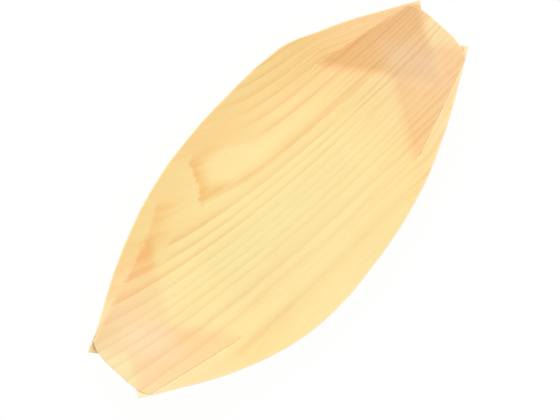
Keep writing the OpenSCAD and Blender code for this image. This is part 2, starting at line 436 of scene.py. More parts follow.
def rim(x, side):
    """Plan points of a rim: the half breadth beside the middle line, with a cut that wanders."""
    y = HAND[side] * (half_breadth(x) + RIM_WANDER * wander(x, RIM_SEED + side)) + middle(x)
    return np.column_stack([x, y])


def floor_rim(u, side):
    """Rim beside the floor, u from stern to bow, its ends slanting with the slit roots."""
    x = between(-ROOT_X, ROOT_X, u)
    return rim(x + HAND[side] * half_breadth(x) * ROOT_LEAD / ROOT_W, side)


def floor_seam(u, side):
    """Straight line from a stern slit root to the bow slit root of the same side."""
    return between(-ROOT[1 - side], ROOT[side], u[:, None])


def tongue_plan(u, v):
    """Bow tongue: a straight blend from the root line to the rounded free end."""
    bulge = TIP_ROUND * (1 - (2 * v - 1) ** 4) + END_WANDER * wander(v * TONGUE_W, TONGUE_SEED)
    tip = between(CORNER[0], CORNER[1], v[:, None])
    tip[:, 0] += bulge
    return between(between(ROOT[0], ROOT[1], v[:, None]), tip, u[:, None])


def side_of_line(p, start, end):
    """Distance of plan points to the left of the line from start to end."""
    way = (end - start) / np.linalg.norm(end - start)
    return way[0] * (p[:, 1] - start[1]) - way[1] * (p[:, 0] - start[0])


def slit_angle(side):
    """Direction of the tongue's slit edge in plan."""
    edge = CORNER[side] - ROOT[side]
    return math.atan2(edge[1], edge[0])


def slit_edge(side, r):
    """Slit edge of a bow tab: close beside the tongue's edge while the tab drops by a thickness,
    then tucked a little below it, and then turned about the root."""
    angle = slit_angle(side) - HAND[side] * SWING * step(r, DROP_LEN, SWING_LEN)
    aside = HAND[side] * (KERF * ramp(r) - TUCK * step(r / DROP_LEN, *TUCK_STEP))
    along = np.column_stack([np.cos(angle), np.sin(angle)])
    square = np.column_stack([-np.sin(angle), np.cos(angle)])
    return ROOT[side] + r[:, None] * along + aside[:, None] * square


def tab_rim_x(side, u):
    """Distance from mid length of a bow tab's rim, u from the root line to the tab's end."""
    start = floor_rim(np.array([1.0]), side)[0, 0]
    return between(start, HALF_L + RIM_OVER, u)


def tab_plan(side, u, w):
    """Bow tab: a straight blend from its rim to its slit edge, the cut end wandering a little."""
    outer = rim(tab_rim_x(side, u), side)
    inner = slit_edge(side, TAB_LEN * u)
    p = between(outer, inner, w[:, None])
    p[:, 0] += FRAY_KEPT * END_WANDER * wander(w * FRAY_LEN, TAB_SEED + side) * step(u, *FRAY_STEP)
    return p


def inside_slit(p, side):
    """Distance of plan points inwards from the tongue's slit edge."""
    return -HAND[side] * side_of_line(p, ROOT[side], CORNER[side])


def tab_depth(side, u, w):
    """Depth of a bow tab: one layer down, quickly at the slit and slowly at the rim, a little less
    where it hugs the tongue's edge, and a second layer down on the starboard tab where it passes
    below the port one."""
    r = u * TAB_LEN
    first = ease(r / between(RIM_DROP, DROP_LEN, np.sqrt(w)))
    inside = inside_slit(tab_plan(side, u, w), side)
    second = side * step(r, LAP_START, LAP_LEN) * step(inside, LAP_FROM, LAP_OVER)
    snug = 1 - ease(inside / SNUG_LEN)
    return first * (LAYER_DROP - SNUG * snug) + LAYER_DROP * second


# Grain, on the sheet as if its tabs had not been swung in


def tab_flat(side, u, w):
    """Place of a bow tab before it was swung in: its plan turned back about the slit root, by a
    small angle where it shows beside the tongue and by a larger one below it, setting in slowly
    from the root line, so that the grain leaves the wall without a break."""
    plan = tab_plan(side, u, w)
    below = ease(inside_slit(plan, side) / TURN_OVER)
    turn = HAND[side] * ease(u / TURN_SETS_IN) * between(STRIP_TURN, TAB_TURN, below)
    x, y = (plan - ROOT[side]).T
    cosine, sine = np.cos(turn), np.sin(turn)
    return ROOT[side] + np.column_stack([x * cosine - y * sine, x * sine + y * cosine])


def with_grain(flat):
    """Lengths along and across the grain of plan places: x and y turned for the first, and y plus a
    sum of power terms for the second, so that its lines curve and draw together to the bow."""
    x, y = flat.T
    along = x * math.cos(GRAIN_TURN) + y * math.sin(GRAIN_TURN)
    part_x, part_y = x / BEND_UNIT, y / BEND_UNIT
    bend = sum(size * part_x**i * part_y**j for (i, j), size in GRAIN_BEND.items())
    return np.column_stack([along, y + BEND_UNIT * bend])


def ring_count(beside):
    """Growth rings counted across the grain from the figure's lower leg, positive below it."""
    out = np.concatenate([-np.cumsum(RINGS_ABOVE)[::-1], [0.0], np.cumsum(RINGS_BELOW)])
    return np.interp(LEG_LOW - beside, out, np.arange(-len(RINGS_ABOVE), len(RINGS_BELOW) + 1))


def drawn_leg(along, beside):
    """Distance across the grain, with the lower leg drawn down by a bell curve towards the bow."""
    return beside + LEG_DRAW * step(along, *LEG_DRAW_STEP) * bell(beside, LEG_LOW, LEG_DRAW_SPREAD)


def past_line(along, beside, at, slant):
    """Distance towards the bow from a line through a point, leaning to the bow by the slant."""
    return along - at[0] - slant * (beside - at[1])


def soft_shade(along, beside):
    """Tone that lies below the rings: stripes, each a bell curve across between two steps along,
    and a field between two steps across."""
    tone = FIELD_TONE * plateau(beside, *FIELD_ACROSS) * (1 - step(along, *FIELD_FADES))
    for size, at, sets_in, fades in STRIPES:
        tone = tone + size * bell(beside, *at) * plateau(along, sets_in, fades)
    return tone


def line_strength(along, beside):
    """Strength of the rings' lines: a sum of steps and a bell curve, at most 1."""
    bold = BOLD_LEAST + sum(size * step(beside, *at) for size, at in BOLD_PORT)
    bold = bold + BOLD_STARBOARD[0] * step(-beside, *BOLD_STARBOARD[1])
    bold = bold + BOLD_ASTERN[0] * step(-along, *BOLD_ASTERN[1])
    bold = bold + BOLD_FOLD[0] * bell(along, *BOLD_FOLD[1])
    size, out, on = BOLD_BOW_WALL
    bold = bold + size * step(-beside, *out) * step(along, *on)
    return np.minimum(1.0, bold)


def port_painted_light(along, beside):
    """Share of the painted light on the port wall: 1 on the wall and 0 on the floor, the step
    between them shifting to starboard astern.
    """
    shift = sum(size * step(-along, *at) for size, at in PORT_LIGHT_SHIFTS)
    return step(beside + shift, *PORT_LIGHT_STEP)


def figure_tones(along, beside):
    """Blunt end of the heartwood figure, as four numbers for each place. First, how much the figure
    hides the rings: all of it astern of the tip and above the leg, and less towards the bow.
    Second, the distance inside the tip's edge. Third, the tone inside: dark along the edge, the
    leg, the upper lines, the hook at the tip's upper end and the heel, pale in the core. Fourth,
    the tone outside: even, with a band and a three-cornered patch that repeat the tip."""
    inside = past_line(along, beside, TIP_AT, TIP_SLANT)
    inside = inside + TIP_WANDER * wander(TIP_PITCH * beside, TIP_SEED)
    inside = inside - TIP_LEAN * np.maximum(beside - TIP_LEAN_FROM, 0.0)

    softer = step(along, *LEG_SOFTENS)
    astern = HIDES_ASTERN - HIDES_DROP * step(-along, *HIDES_DROP_STEP)
    low = between(astern, LEG_LOW - HIDES_UNDER_LEG, step(along, *HIDES_RISE))
    low = low - HIDES_LOWERED * softer
    hides = ease((beside - low) / between(*HIDES_SOFT, softer)) * (1 - step(along, *HIDES_FADES))

    edge = EDGE_TONE * bell(np.maximum(inside, 0.0), 0.0, EDGE_DEPTH)
    edge = edge * (1 - step(beside, *EDGE_TOP)) * (1 - EDGE_PALER * bell(beside, *EDGE_PALER_AT))
    leg = np.exp(-np.maximum(beside - LEG_LOW, 0.0) / LEG_FADE)
    leg = between(leg, LEG_SOFT_TONE * bell(beside, *LEG_SOFT_AT), softer)
    leg = leg * (LEG_TONE + LEG_DARKER * bell(along, *LEG_DARKER_AT))
    top = UPPER_FROM + UPPER_RISE * step(-along, *UPPER_RISE_STEP)
    upper = UPPER_TONE - UPPER_PALER * step(beside, *UPPER_PALER_STEP)
    upper = upper * ease((beside - top) / UPPER_SOFT)
    hook = HOOK_TONE * bell(past_line(along, beside, HOOK_AT, HOOK_SLANT), 0.0, HOOK_SPREAD[0])
    hook = hook * bell(beside, HOOK_AT[1], HOOK_SPREAD[1])
    heel = HEEL_TONE * bell(along, HEEL_AT[0], HEEL_SPREAD[0])
    heel = heel * bell(beside, HEEL_AT[1], HEEL_SPREAD[1])
    within = CORE_TONE + np.maximum(edge, leg) + upper + hook + heel

    behind = past_line(along, beside, *BAND_LINE)
    band = over_edge(behind, BAND_SOFT) * bell(np.maximum(behind, 0.0), 0.0, BAND_DEPTH)
    band = BAND_TONE * band * plateau(beside, *BAND_ACROSS)
    patch = over_edge(past_line(along, beside, *PATCH_LEFT), PATCH_SOFT[0])
    patch = patch * over_edge(-past_line(along, beside, *PATCH_RIGHT), PATCH_SOFT[1])
    patch = PATCH_TONE * patch * step(beside, *PATCH_LOW)
    outside = EVEN_TONE + HIGH_TONE * step(beside, *HIGH_STEP) + band + patch
    return hides, inside, within, outside


# Inner and outer corner of each bow tab's end in plan
TAB_TIP = tuple(tab_plan(s, np.ones(1), np.ones(1))[0] for s in (0, 1))
RIM_END = tuple(tab_plan(s, np.ones(1), np.zeros(1))[0] for s in (0, 1))


def under_tab(p, side, soft):
    """1 where a bow tab lies below a plan point, easing to 0 across its slit edge and its end."""
    inside = HAND[side] * side_of_line(p, ROOT[side], TAB_TIP[side])
    behind = -HAND[side] * side_of_line(p, RIM_END[side], TAB_TIP[side])
    return over_edge(np.minimum(inside, behind), soft)


# The sheet as one closed mesh


def crowded(cells, first, last, edge):
    """Row of shares from 0 to 1, evenly spaced, with two extra shares close to a cut edge."""
    even = np.linspace(0.0, 1.0, cells + 1)
    near = ARRIS_SHARES * edge
    parts = [even, near if first else [], 1 - near[::-1] if last else []]
    return np.unique(np.concatenate(parts))


def edge_wear(count, first, last):
    """Depth that an arris is worn back at each share of a crowded row."""
    wear = np.zeros(count)
    if first:
        wear[:2] = ARRIS * ARRIS_WEAR
    if last:
        wear[-2:] = ARRIS * ARRIS_WEAR[::-1]
    return wear


def grid(a, b):
    """All pairs of two rows of shares, the first slowest."""
    return np.repeat(a, len(b)), np.tile(b, len(a))


def veneer_mesh():
    """Upper face from grids that share their root lines, the lower face one thickness below it and
    a band round the cut edge. Returns points, faces, places on the blank, and the values that the
    wood reads."""
    rows = np.linspace(0.0, 1.0, FLOOR_ROWS)
    side_w = crowded(SIDE_CELLS, True, True, SIDE_CUT)
    tongue_v = crowded(TONGUE_CELLS, True, True, TONGUE_CUT)
    out_u = crowded(END_CELLS, False, True, TONGUE_CUT)[1:]
    ns, nt = len(side_w), len(tongue_v)

    # Floor and walls, columns from the port rim to the starboard rim
    u, w = grid(rows, side_w)
    port = between(floor_rim(u, 0), floor_seam(u, 0), w[:, None])
    starboard = between(floor_rim(u, 1), floor_seam(u, 1), w[:, None])
    u, v = grid(rows, tongue_v)
    inner = between(floor_seam(u, 0), floor_seam(u, 1), v[:, None])
    shape = (len(rows), -1, 2)
    floor = np.concatenate(
        [port.reshape(shape), inner.reshape(shape)[:, 1:-1], starboard.reshape(shape)[:, ::-1]], 1
    )
    columns = floor.shape[1]
    wear = np.zeros((len(rows), columns))
    wear[:, :2] = edge_wear(ns, True, False)[:2]
    wear[:, -2:] = edge_wear(ns, True, False)[:2][::-1]
    floor = floor.reshape(-1, 2)
    none = np.zeros(len(floor))
    plans, depths, wears, flats = [floor], [none], [wear.ravel()], [floor]
    painted_lap_shades, painted_pair_tints, strips, slits = [none], [none], [none], [none - FAR]

    # Tongues and tabs of the bow, and the same turned half round for the stern
    end_wear = edge_wear(len(out_u), False, True)
    u, v = grid(out_u, tongue_v)
    tongue = tongue_plan(u, v)
    tongue_wear = np.maximum.outer(end_wear, edge_wear(nt, True, True)).ravel()
    # Painted shade where a tab, and where both tabs, lie below a tongue
    covered = [under_tab(tongue, side, LAP_SOFT) for side in (0, 1)]
    doubled = under_tab(tongue, 0, PAIR_SOFT) * under_tab(tongue, 1, PAIR_SOFT)
    level = np.zeros(len(tongue))
    u, w = grid(out_u, side_w)
    worn = np.maximum.outer(end_wear, edge_wear(ns, True, True)).ravel()
    bare = np.zeros(len(u))
    strip = ease(u / STRIP_SETS_IN)

    def bow_tab(side):
        tab, drop, flat = tab_plan(side, u, w), tab_depth(side, u, w), tab_flat(side, u, w)
        return tab, drop, worn, flat, bare, bare, strip, inside_slit(tab, side)

    tabs = [bow_tab(0), bow_tab(1)]

    def add(plan, depth, worn, flat, painted_lap_shade, pair, strip, slit, turn):
        first = sum(len(p) for p in plans)
        plans.append(turn * plan)
        depths.append(depth)
        wears.append(worn)
        flats.append(turn * flat)
        painted_lap_shades.append(painted_lap_shade)
        painted_pair_tints.append(pair)
        strips.append(strip)
        slits.append(slit)
        return first + np.arange(len(plan)).reshape(len(out_u), -1)

    floor_ids = np.arange(len(floor)).reshape(len(rows), columns)
    tongue_ids, tab_ids = [], []
    for end, turn in ((0, 1.0), (1, -1.0)):
        root_row = floor_ids[-1 if end == 0 else 0]
        # Painted shade of the tabs below the tongue, stronger at the bow, and its paler, bluer tint
        # where both lie below
        painted_lap_shade = LAP_SHADE[end][0] * covered[0] + LAP_SHADE[end][1] * covered[1] * (1 - covered[0])
        pair = PAIR_SHADE[end] * doubled
        ids = add(tongue, level, tongue_wear, tongue, painted_lap_shade, pair, level, level - FAR, turn)
        ids = ids if end == 0 else ids[:, ::-1]
        tongue_ids.append(np.vstack([root_row[ns - 1:ns - 1 + nt], ids]))
        both_tabs = []
        for side in (0, 1):
            bow_side = side if end == 0 else 1 - side
            outline, drop, *rest = tabs[bow_side]
            gape = GAPE * end * bow_side * step(u, *GAPE_STEP) * (1 - ease(w / GAPE_BREADTH))
            ids = add(outline, drop + gape, *rest, turn)
            start = root_row[:ns] if side == 0 else root_row[::-1][:ns]
            both_tabs.append(np.vstack([start, ids]))
        tab_ids.append(both_tabs)

    def cells(ids, reverse):
        quads = np.stack([ids[:-1, :-1], ids[:-1, 1:], ids[1:, 1:], ids[1:, :-1]], -1)
        quads = quads.reshape(-1, 4)
        return quads[:, ::-1] if reverse else quads

    top = [cells(floor_ids, False)]
    for end in (0, 1):
        top.append(cells(tongue_ids[end], end == 1))
        top += [cells(tab_ids[end][side], end != side) for side in (0, 1)]
    top = np.concatenate(top)

    def round_tab(ids):
        return np.concatenate([ids[:, 0], ids[-1, 1:], ids[-2:0:-1, -1]])

    def round_tongue(ids):
        return np.concatenate([ids[:, 0], ids[-1, 1:], ids[-2::-1, -1]])

    loop = np.concatenate([
        round_tab(tab_ids[0][0]),
        round_tongue(tongue_ids[0]),
        round_tab(tab_ids[0][1])[::-1],
        floor_ids[-2:0:-1, -1],
        round_tab(tab_ids[1][1]),
        round_tongue(tongue_ids[1])[::-1],
        round_tab(tab_ids[1][0])[::-1],
        floor_ids[1:-1, 0],
    ])
    plan, depth, worn = np.concatenate(plans), np.concatenate(depths), np.concatenate(wears)
    count = len(plan)
    after = np.roll(loop, -1)
    band = np.stack([loop, after, after + count, loop + count], 1)
    faces = np.concatenate([top, top[:, ::-1] + count, band])
    points = np.concatenate([place(plan, depth + worn), place(plan, depth + SHEET_T - worn)])

    # Values of the wood and of its painted light and shade, the same on both faces but for the last
    # two
    flat, strip = np.concatenate(flats), np.concatenate(strips)
    along, beside = with_grain(flat).T
    # Painted shadow of the tongue on the end of the stern's port tab, added to the wood's tone
    tab_end_shadow = TAB_END_SHADOW * step(-along, *TAB_END_ASTERN) * step(beside, *TAB_END_PORT)
    wood_tone_and_shadow = soft_shade(along, beside) + tab_end_shadow * strip
    beside = drawn_leg(along, beside)
    hides, inside_tip, within, outside = figure_tones(along, beside)
    fine = step(along, *FINE_STEP)
    toward_ends = step(np.abs(along), *END_STEP)
    cut = np.zeros(count)
    cut[loop] = 1.0
    values = {
        "rings": ring_count(beside),
        "hides": hides,
        "inside_tip": inside_tip,
        "within": within,
        "outside": outside + STRIP_TONE * strip,
        "painted_lap_shade": np.concatenate(painted_lap_shades),
        "pair": np.concatenate(painted_pair_tints),
        "cut": cut,
        "heart": step(beside, *HEART_STEP) * (1 - FINE_TAKES * fine),
        "outer": step(-beside, *OUTER_STEP) * (1 - toward_ends),
        "above": step(beside, *ABOVE_STEP),
        "wood_tone_and_shadow": wood_tone_and_shadow,
        # Share of the painted light on the shaded port wall
        "port": port_painted_light(along, beside),
        "bold": line_strength(along, beside),
        "strip": strip,
        "fine": fine,
        # Share of the painted bluish reflection at both ends
        "end": toward_ends,
    }
    values = {name: np.tile(numbers, 2) for name, numbers in values.items()}
    # Distance inside a tongue's edge, which places the painted light beside it
    values["slit"] = np.concatenate([*slits, np.full(count, -FAR)])
    values["loose_face"] = np.repeat([0.0, 1.0], count)
    return points * MM, faces, np.tile(flat, (2, 1)), values


def sliver(start, end, lift, half_width):
    """Torn fibre: a six-sided flat oval profile along a straight line over the sheet. Its half
    width and its height over the sheet both follow a half sine of the share of the way, the width
    above a least value, so both ends are thin and lie on the wood. Returns points, faces and plan
    places."""
    share = np.linspace(0.0, 1.0, SLIVER_ROWS)
    turn = np.arange(SLIVER_SIDES) * 2 * np.pi / SLIVER_SIDES
    way = (end - start) / np.linalg.norm(end - start)
    at, round_it = grid(share, turn)
    arch = np.sin(np.pi * at)
    beside = half_width * between(SLIVER_LEAST, 1.0, arch)
    plan = between(start, end, at[:, None])
    plan = plan + (beside * np.cos(round_it))[:, None] * np.array([-way[1], way[0]])
    rise = lift * arch + SLIVER_FLAT * beside * np.sin(round_it)
    ids = np.arange(len(plan)).reshape(SLIVER_ROWS, SLIVER_SIDES)
    on = np.roll(ids, -1, axis=1)
    walls = np.stack([ids[:-1], on[:-1], on[1:], ids[1:]], -1).reshape(-1, 4)
    front = ids[0][[[3, 2, 1, 0], [5, 4, 3, 0]]]
    back = ids[-1][[[0, 1, 2, 3], [0, 3, 4, 5]]]
    return place(plan, -rise), np.concatenate([walls, front, back]), plan


def add_mesh(name, points, faces):
    """New object at the origin from arrays of points and four-cornered faces, shaded smooth."""
    mesh = bpy.data.meshes.new(name)
    mesh.vertices.add(len(points))
    mesh.vertices.foreach_set("co", np.ascontiguousarray(points, np.float32).ravel())
    mesh.loops.add(faces.size)
    mesh.loops.foreach_set("vertex_index", np.ascontiguousarray(faces, np.int32).ravel())
    mesh.polygons.add(len(faces))
    mesh.polygons.foreach_set("loop_start", np.arange(0, faces.size, 4, dtype=np.int32))
    mesh.polygons.foreach_set("use_smooth", np.ones(len(faces), bool))
    mesh.update(calc_edges=True)
    mesh.validate()
    piece = bpy.data.objects.new(name, mesh)
    bpy.context.scene.collection.objects.link(piece)
    return piece


def lay_grain(piece, flat):
    """Map of the grain: lengths along and across it, as parts of the grain unit."""
    along_grain = with_grain(flat) / GRAIN_UNIT
    corner_of = np.empty(len(piece.data.loops), np.int32)
    piece.data.loops.foreach_get("vertex_index", corner_of)
    layer = piece.data.uv_layers.new(name="grain")
    layer.uv.foreach_set("vector", along_grain[corner_of].astype(np.float32).ravel())


# Shader helpers


def new_material(name):
    """Material with an empty node tree, its output and one Principled shader."""
    material = bpy.data.materials.new(name)
    material.use_nodes = True
    tree = material.node_tree
    tree.nodes.clear()
    output = tree.nodes.new("ShaderNodeOutputMaterial")
    surface = tree.nodes.new("ShaderNodeBsdfPrincipled")
    tree.links.new(surface.outputs["BSDF"], output.inputs["Surface"])
    return material, tree, surface


def feed(tree, socket, value):
    """Sets a socket to a plain value or links it to another socket."""
    if isinstance(value, bpy.types.NodeSocket):
        tree.links.new(value, socket)
    else:
        socket.default_value = value


def sums(tree, operation, *terms, clamp=False):
    """Math node over numbers or sockets."""
    made = tree.nodes.new("ShaderNodeMath")
    made.operation = operation
    made.use_clamp = clamp
    for socket, term in zip(made.inputs, terms):
        feed(tree, socket, term)
    return made.outputs[0]


def span(tree, value, low, high, to_low, to_high):
    """Value carried from one range to another, held inside it."""
    made = tree.nodes.new("ShaderNodeMapRange")
    for socket, term in zip(made.inputs, (value, low, high, to_low, to_high)):
        feed(tree, socket, term)
    return made.outputs[0]


def noise(tree, vector, stretch, detail=2.0, rough=0.5, offset=(0.0, 0.0, 0.0)):
    """Noise on a vector stretched by a factor for each axis, from 0 to 1."""
    mapping = tree.nodes.new("ShaderNodeMapping")
    mapping.inputs["Scale"].default_value = stretch
    mapping.inputs["Location"].default_value = offset
    tree.links.new(vector, mapping.inputs["Vector"])
    made = tree.nodes.new("ShaderNodeTexNoise")
    made.inputs["Scale"].default_value = 1.0
    made.inputs["Detail"].default_value = detail
    made.inputs["Roughness"].default_value = rough
    tree.links.new(mapping.outputs["Vector"], made.inputs["Vector"])
    return made.outputs["Fac"]


def value_of(tree, name):
    """Number that the mesh carries at each point."""
    made = tree.nodes.new("ShaderNodeAttribute")
    made.attribute_name = name
    return made.outputs["Fac"]


def tint(tree, blend, factor, a, b):
    """Mix of two colours."""
    made = tree.nodes.new("ShaderNodeMix")
    made.data_type = "RGBA"
    made.blend_type = blend
    feed(tree, made.inputs["Factor"], factor)
    feed(tree, made.inputs[6], a)
    feed(tree, made.inputs[7], b)
    return made.outputs[2]


def colour(red, green, blue):
    """Colour as it looks on a screen, 0 to 255, turned into the linear numbers of a shader."""
    screen = np.array([red, green, blue]) / 255
    linear = np.where(screen <= 0.04045, screen / 12.92, ((screen + 0.055) / 1.055) ** 2.4)
    return (*linear.tolist(), 1.0)


def curve(tree, value, stops):
    """Curve of numbers from stops of place and grey level."""
    made = tree.nodes.new("ShaderNodeValToRGB")
    points = made.color_ramp.elements
    while len(points) < len(stops):
        points.new(0.5)
    for point, (at, level) in zip(points, stops):
        point.position = at
        point.color = (level, level, level, 1.0)
    tree.links.new(value, made.inputs["Fac"])
    return made.outputs["Color"]


def chance(tree, value):
    """Number from 0 to 1 that is even over each whole step of a value."""
    made = tree.nodes.new("ShaderNodeTexWhiteNoise")
    made.noise_dimensions = "1D"
    feed(tree, made.inputs["W"], sums(tree, "FLOOR", value))
    return made.outputs["Value"]


def grain_of(tree):
    """Place on the grain map."""
    made = tree.nodes.new("ShaderNodeUVMap")
    made.uv_map = "grain"
    return made.outputs["UV"]


def relief(tree, shader, height, strength, distance):
    """Bump on a shader from a height."""
    made = tree.nodes.new("ShaderNodeBump")
    made.inputs["Strength"].default_value = strength
    made.inputs["Distance"].default_value = distance
    tree.links.new(height, made.inputs["Height"])
    tree.links.new(made.outputs["Normal"], shader.inputs["Normal"])


# Colours of the wood, each pair being what the slow drift of hue goes between
SAP = (colour(244, 230, 170), colour(244, 225, 163))
SAP_LATE = (colour(235, 216, 153), colour(235, 211, 148))
FINE_LATE = colour(231, 206, 142)
BROAD = (colour(245, 231, 173), colour(245, 227, 168))
BROAD_LATE = (colour(238, 213, 151), colour(237, 209, 148))
CORE = colour(247, 232, 171)
CORE_LATE = (colour(239, 207, 139), colour(238, 203, 137))
FIGURE_LATE = colour(241, 201, 131)
FIBRE_LINE = colour(251, 240, 228)
RESIN = colour(214, 158, 96)
CHECKED = colour(222, 176, 118)
CUT_WOOD = colour(250, 236, 202)
# Factors of red, green and blue where a value of the mesh is 1
# Painted bluish reflection of the light from above, on both ends
END_PAINTED_REFLECTION = (1.0, 1.0, 1.14, 1.0)
TINTS = (
    ("above", colour(255, 250, 246)),
    # Painted light, redder, on the port wall, which lies in shade
    ("port", (1.055, 1.0, 1.0, 1.0)),
    # Painted light, a little bluer, on the strips of tab beside the tongues, which lie lower, in
    # shade
    ("strip", (1.03, 1.02, 1.04, 1.0)),
    ("fine", (1.085, 1.035, 1.04, 1.0)),
    # Part of the painted shade where both tabs lie below a tongue: it makes that shade paler and
    # bluer
    ("pair", (1.02, 1.095, 1.37, 1.0)),
)
# Painted light beside a tongue's edge, which makes up for the contact shadow there, and painted
# shade for the first and the second layer below a tongue
NOOK_PAINTED_LIGHT = (1.04, 1.09, 1.12, 1.0)
LAP_SHADE_TINTS = ((1.01, 0.88, 0.871, 1.0), colour(242, 237, 223))
# Share of the lines' strength that is left on those parts
LINES_LEFT = (("above", 0.85), ("strip", 0.4), ("fine", 0.35))
# Darkness over one ring, from its first wood to its last: straight grain, broad rings, fine rings
STRAIGHT_RING = ((0.0, 0.06), (0.42, 0.16), (0.72, 0.6), (0.9, 1.0), (0.97, 0.75), (1.0, 0.06))
BROAD_RING = (
    (0.0, 0.5), (0.2, 0.2), (0.45, 0.12), (0.7, 0.6), (0.86, 0.95), (0.94, 0.85), (1.0, 0.5),
)
NARROW_RING = ((0.0, 0.4), (0.14, 0.16), (0.42, 0.26), (0.74, 1.0), (0.88, 0.9), (1.0, 0.4))
# Least and greatest strength of a ring and of a fine ring, and the fine rings' share among the
# broad ones
RING_STRENGTH = (0.7, 1.0)
FINE_STRENGTH = (0.25, 0.85)
FINE_AMONG_BROAD = 0.22
# How far the rings sway and how ragged they are in rings, and the fine rings' further sway
RING_SWAY = 0.36
RING_TEETH = 0.14
FINE_SWAY = 3.5
# Raggedness and softness of the tip's edge in millimetres, and the tone's factors over its streaks
TIP_TEETH = 3.6
TIP_SOFT = 0.4
STREAK_FACTORS = (0.6, 1.4)
# Stretch of the noises along and across the grain
SWAY_NOISE = (2.5, 22.0, 1.0)
TEETH_NOISE = (12.0, 160.0, 1.0)
STREAK_NOISE = (1.5, 42.0, 1.0)
HUE_NOISE = (2.2, 9.0, 1.0)
FIBRE_NOISE = (9.0, 700.0, 1.0)
TICK_NOISE = (26.0, 620.0, 1.0)
CHECK_NOISE = (7.0, 260.0, 1.0)
TORN_NOISE = (9.0, 900.0, 1.0)
# Sheen of wood that is only dressed, and the strength and height of its relief
WOOD_SPECULAR = 0.3
RELIEF = 0.35
RELIEF_HEIGHT = 0.00006


def veneer_material():
    """Pale pine veneer: saw-toothed growth rings that darken slowly and end sharply, fibres along
    the grain, slow drifts of hue, small resin ticks and fibrous cut edges. Light and shade painted
    into it: shade on the doubled ends and on the end of the stern's port tab, light on the port
    wall, on the strips of tab and beside the tongues' edges, and a bluish reflection at both ends."""
    material, tree, wood = new_material("veneer")
    grain = grain_of(tree)
    painted_lap_shade, cut, loose, heart, outer, fine, hides = (
        value_of(tree, n) for n in ("painted_lap_shade", "cut", "loose_face", "heart", "outer", "fine", "hides")
    )

    # Rings
    sway = noise(tree, grain, SWAY_NOISE, 2.0)
    sway = sums(tree, "MULTIPLY_ADD", sway, RING_SWAY, -RING_SWAY / 2)
    teeth = sums(tree, "SUBTRACT", noise(tree, grain, TEETH_NOISE, 4.0, 0.62), 0.5)
    uneven = sums(tree, "MULTIPLY_ADD", teeth, RING_TEETH, sway)
    count = sums(tree, "ADD", value_of(tree, "rings"), uneven)
    part_year = sums(tree, "FRACT", count)
    straight, soft = curve(tree, part_year, STRAIGHT_RING), curve(tree, part_year, BROAD_RING)
    late = tint(tree, "MIX", outer, straight, soft)
    strength = span(tree, chance(tree, count), 0.0, 1.0, *RING_STRENGTH)
    strength = sums(tree, "MULTIPLY", strength, value_of(tree, "bold"))
    for name, left in LINES_LEFT:
        fewer = span(tree, value_of(tree, name), 0.0, 1.0, 1.0, left)
        strength = sums(tree, "MULTIPLY", strength, fewer)

    # Fine rings
    beside = tree.nodes.new("ShaderNodeSeparateXYZ")
    tree.links.new(grain, beside.inputs["Vector"])
    lines = sums(tree, "MULTIPLY_ADD", beside.outputs["Y"], GRAIN_UNIT / FINE_RING, sway)
    lines = sums(tree, "MULTIPLY_ADD", sway, FINE_SWAY, lines)
    share = span(tree, chance(tree, lines), 0.0, 1.0, *FINE_STRENGTH)
    shown = sums(tree, "MULTIPLY_ADD", outer, FINE_AMONG_BROAD, fine)
    narrow = curve(tree, sums(tree, "FRACT", lines), NARROW_RING)
    narrow = sums(tree, "MULTIPLY", narrow, sums(tree, "MULTIPLY", shown, share))
    dark = sums(tree, "MULTIPLY_ADD", late, strength, narrow, clamp=True)

    # Figure
    edge = sums(tree, "MULTIPLY_ADD", teeth, TIP_TEETH, value_of(tree, "inside_tip"))
    edge = span(tree, edge, -TIP_SOFT, TIP_SOFT, 0.0, 1.0)
    tone = tint(tree, "MIX", edge, value_of(tree, "outside"), value_of(tree, "within"))
    streak = noise(tree, grain, STREAK_NOISE, 2.0, 0.5, (1.0, 4.0, 0.0))
    streak = span(tree, streak, 0.32, 0.68, *STREAK_FACTORS)
    dark = tint(tree, "MIX", hides, dark, sums(tree, "MULTIPLY", tone, streak))
    # Wood tone below the rings, with the painted shadow on the stern's port tab end
    dark = sums(tree, "ADD", dark, value_of(tree, "wood_tone_and_shadow"), clamp=True)

    # Colour
    hue = noise(tree, grain, HUE_NOISE, 2.0, 0.5, (3.0, 1.0, 0.0))
    hue = span(tree, hue, 0.3, 0.7, 0.0, 1.0)

    def drift(pair):
        return tint(tree, "MIX", hue, *pair)

    early = tint(tree, "MIX", outer, drift(SAP), drift(BROAD))
    early = tint(tree, "MIX", heart, early, CORE)
    sap_late = tint(tree, "MIX", fine, drift(SAP_LATE), FINE_LATE)
    core_late = tint(tree, "MIX", hides, drift(CORE_LATE), FIGURE_LATE)
    autumn = tint(tree, "MIX", outer, sap_late, drift(BROAD_LATE))
    autumn = tint(tree, "MIX", heart, autumn, core_late)
    body = tint(tree, "MIX", dark, early, autumn)
    # Painted bluish reflection of the light from above, on both ends
    body = tint(tree, "MULTIPLY", value_of(tree, "end"), body, END_PAINTED_REFLECTION)

    # Fibres and resin ticks
    fibre = noise(tree, grain, FIBRE_NOISE, 3.0, 0.65, (0.0, 7.0, 0.0))
    body = tint(tree, "MULTIPLY", span(tree, fibre, 0.35, 0.65, 0.55, 0.0), body, FIBRE_LINE)
    tick = noise(tree, grain, TICK_NOISE, 1.0, 0.5, (2.0, 3.0, 0.0))
    body = tint(tree, "MIX", span(tree, tick, 0.70, 0.78, 0.0, 0.5), body, RESIN)

    # Tints of the sheet's parts, some of them painted light and shade
    for name, factors in TINTS:
        body = tint(tree, "MULTIPLY", value_of(tree, name), body, factors)
    # Painted light on the tabs beside a tongue's edge, making up for the contact shadow there
    nook_light = span(tree, value_of(tree, "slit"), -NOOK, 0.0, 0.0, 1.0)
    body = tint(tree, "MULTIPLY", nook_light, body, NOOK_PAINTED_LIGHT)
